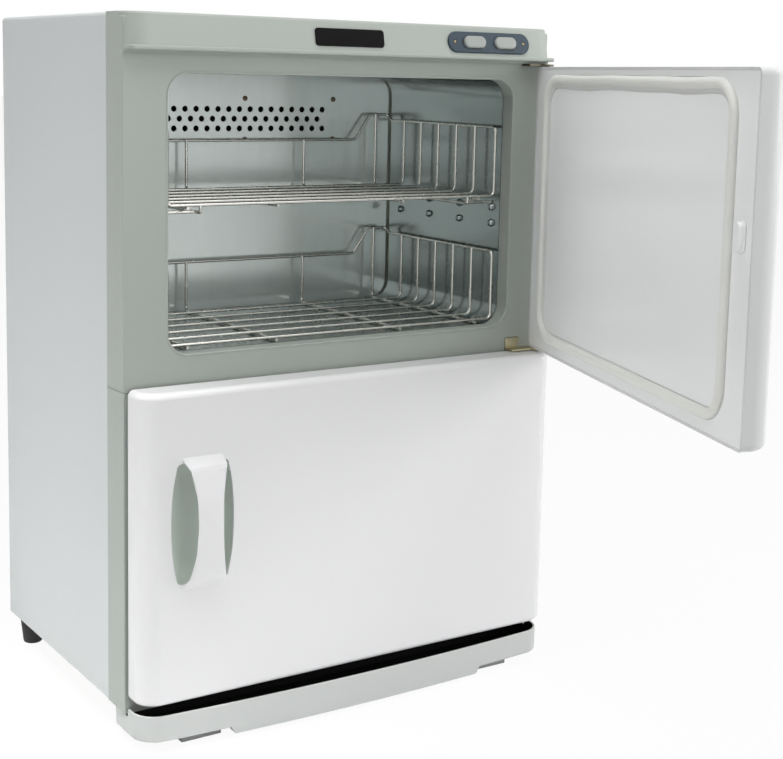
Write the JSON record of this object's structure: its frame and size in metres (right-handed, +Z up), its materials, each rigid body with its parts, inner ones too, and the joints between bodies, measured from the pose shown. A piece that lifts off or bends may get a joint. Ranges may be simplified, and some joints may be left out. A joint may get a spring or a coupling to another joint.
{
  "type": "towel warmer cabinet",
  "caption": "Two-deck electric towel warmer cabinet with side-hinged bow-handle doors, wire baskets, perforated lamp panel, push buttons and a drip tray.",
  "frame": {"origin": "on the floor under the middle of the part's box, with the upper door standing open as stored", "axes": "+X to the cabinet's right as its user faces it, +Y to its back, +Z up"},
  "size_m": [0.4561, 0.7251, 0.637],
  "materials": {
    "white_paint": "smooth semi-gloss paint",
    "frame_grey": "fine satin moulded plastic",
    "door_white": "glossy moulded plastic",
    "lining_white": "smooth semi-gloss sheet",
    "liner_metal": "satin sheet",
    "rack_wire": "bright plated wire",
    "seal_rubber": "soft cream silicone",
    "cup_grey": "satin moulded plastic",
    "tray_grey": "satin moulded plastic",
    "black_plastic": "dark plastic",
    "bezel_blue": "dull blue plastic",
    "button_white": "off-white plastic",
    "zinc_steel": "yellow-passivated zinc plate",
    "black_rubber": "matt rubber",
    "foam": "foam and felt filling",
    "lamp_glass": "clear lamp tube",
    "heater_film": "amber heating film",
    "led_amber": "lens"
  },
  "bodies": {
    "cabinet": {"upper_front_frame": "frame_grey", "upper_liner": "liner_metal", "upper_rear_panel": "liner_metal", "upper_lamp_box": "zinc_steel", "upper_uv_lamp": "lamp_glass", "upper_lamp_holder_left": "button_white", "upper_lamp_holder_right": "button_white", "upper_heater_pad": "heater_film", "upper_insulation": "foam", "upper_thermostat": "black_plastic", "lower_front_frame": "frame_grey", "lower_liner": "liner_metal", "lower_rear_panel": "liner_metal", "lower_lamp_box": "zinc_steel", "lower_uv_lamp": "lamp_glass", "lower_lamp_holder_left": "button_white", "lower_lamp_holder_right": "button_white", "lower_heater_pad": "heater_film", "lower_insulation": "foam", "lower_thermostat": "black_plastic", "outer_casing": "white_paint", "base_plate": "zinc_steel", "rear_cover": "white_paint", "inlet_gland": "black_rubber", "top_hinge_bracket": "zinc_steel", "middle_hinge_bracket": "zinc_steel", "bottom_hinge_bracket": "zinc_steel", "ballast": "white_paint", "terminal_block": "button_white", "badge_plate": "black_plastic", "front_foot_left": "tray_grey", "front_foot_right": "tray_grey", "rear_foot_left": "black_rubber", "rear_foot_right": "black_rubber", "control_bezel": "bezel_blue", "heat_switch": "black_plastic", "uv_switch": "black_plastic", "heat_indicator": "led_amber", "uv_indicator": "led_amber"},
    "upper_door": {"upper_door_shell": "door_white", "upper_door_inner_panel": "lining_white", "upper_door_seal": "seal_rubber", "upper_door_handle_cup": "cup_grey", "upper_door_foam": "foam", "upper_door_catch": "door_white"},
    "lower_door": {"lower_door_shell": "door_white", "lower_door_inner_panel": "lining_white", "lower_door_seal": "seal_rubber", "lower_door_handle_cup": "cup_grey", "lower_door_foam": "foam", "lower_door_catch": "door_white"},
    "upper_shelf_rack": {"upper_shelf_rack": "rack_wire"},
    "upper_floor_rack": {"upper_floor_rack": "rack_wire"},
    "lower_shelf_rack": {"lower_shelf_rack": "rack_wire"},
    "lower_floor_rack": {"lower_floor_rack": "rack_wire"},
    "heat_button": {"heat_button": "button_white"},
    "uv_button": {"uv_button": "button_white"},
    "drip_tray": {"drip_tray": "tray_grey"}
  },
  "joints": [
    {"name": "upper_door_hinge", "type": "hinge", "parent": "cabinet", "child": "upper_door", "pos_m": [0.2155, 0.0557, 0.4615], "axis": [0, 0, 1], "range_deg": [-71.6, 43.4]},
    {"name": "lower_door_hinge", "type": "hinge", "parent": "cabinet", "child": "lower_door", "pos_m": [0.2155, 0.0557, 0.1802], "axis": [0, 0, 1], "range_deg": [0, 115]},
    {"name": "upper_shelf_rack_slide", "type": "slide", "parent": "cabinet", "child": "upper_shelf_rack", "axis": [0, -1, 0], "range_m": [0, 0.09]},
    {"name": "upper_floor_rack_slide", "type": "slide", "parent": "cabinet", "child": "upper_floor_rack", "axis": [0, -1, 0], "range_m": [0, 0.09]},
    {"name": "lower_shelf_rack_slide", "type": "slide", "parent": "cabinet", "child": "lower_shelf_rack", "axis": [0, -1, 0], "range_m": [0, 0.02]},
    {"name": "lower_floor_rack_slide", "type": "slide", "parent": "cabinet", "child": "lower_floor_rack", "axis": [0, -1, 0], "range_m": [0, 0.02]},
    {"name": "drip_tray_slide", "type": "slide", "parent": "cabinet", "child": "drip_tray", "axis": [0, -1, 0], "range_m": [0, 0.055]},
    {"name": "heat_button_press", "type": "slide", "parent": "cabinet", "child": "heat_button", "axis": [0, 0.9823, -0.1871], "range_m": [0, 0.0025], "stiffness_N_per_m": 400, "springref_m": -0.001},
    {"name": "uv_button_press", "type": "slide", "parent": "cabinet", "child": "uv_button", "axis": [0, 0.9823, -0.1871], "range_m": [0, 0.0025], "stiffness_N_per_m": 400, "springref_m": -0.001}
  ]
}
